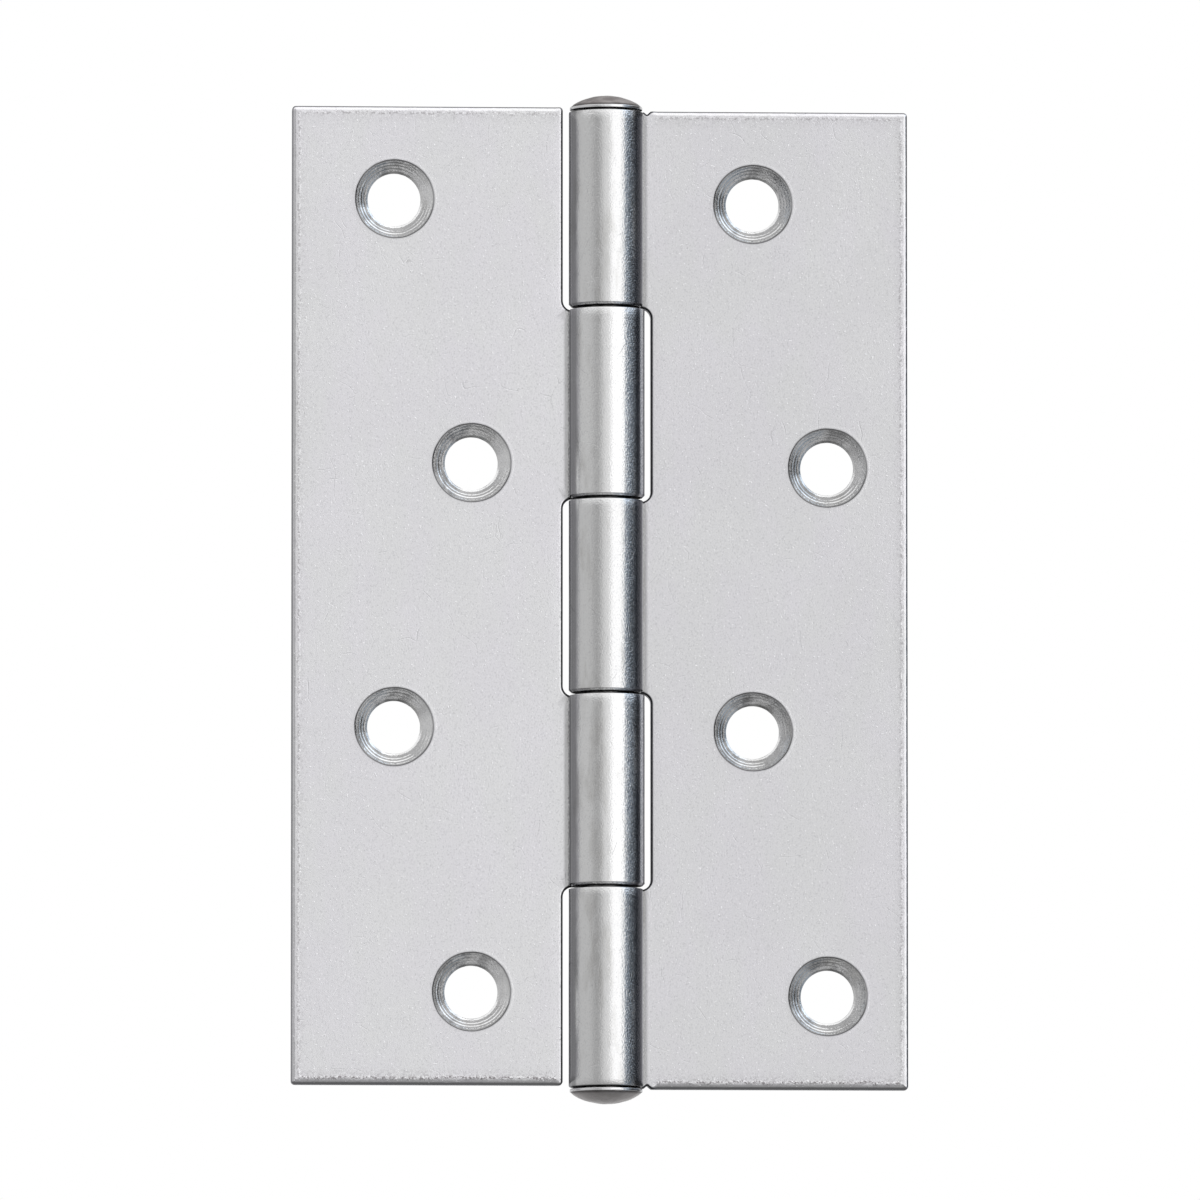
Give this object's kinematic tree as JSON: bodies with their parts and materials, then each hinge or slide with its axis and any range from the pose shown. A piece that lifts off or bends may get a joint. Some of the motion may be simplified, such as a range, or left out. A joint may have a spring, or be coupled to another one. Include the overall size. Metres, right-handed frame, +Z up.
{
  "type": "door hinge",
  "caption": "Pressed steel butt hinge with rolled knuckles on a riveted fixed pin and countersunk screw holes in zigzag rows, shown opened flat.",
  "frame": {"origin": "on the pin's axis, at mid-height of the right leaf, which is the middle of the opened hinge", "axes": "+Z up along the pin, +X across to the right leaf, -Y out of the countersunk faces; opened flat at rest"},
  "size_m": [0.0629, 0.0074, 0.1028],
  "materials": {
    "zinc_steel": "bright zinc plated, fine grained, slightly cool",
    "pin_steel": "plain steel, slightly darker and warmer, hammered crown"
  },
  "bodies": {
    "right_leaf_body": {"right_leaf": "zinc_steel", "hinge_pin": "pin_steel"},
    "left_leaf_body": {"left_leaf": "zinc_steel"}
  },
  "joints": [
    {"name": "leaf_swing", "type": "hinge", "parent": "right_leaf_body", "child": "left_leaf_body", "pos_m": [0, 0, 0], "axis": [0, 0, 1], "range_deg": [-120, 180]}
  ]
}
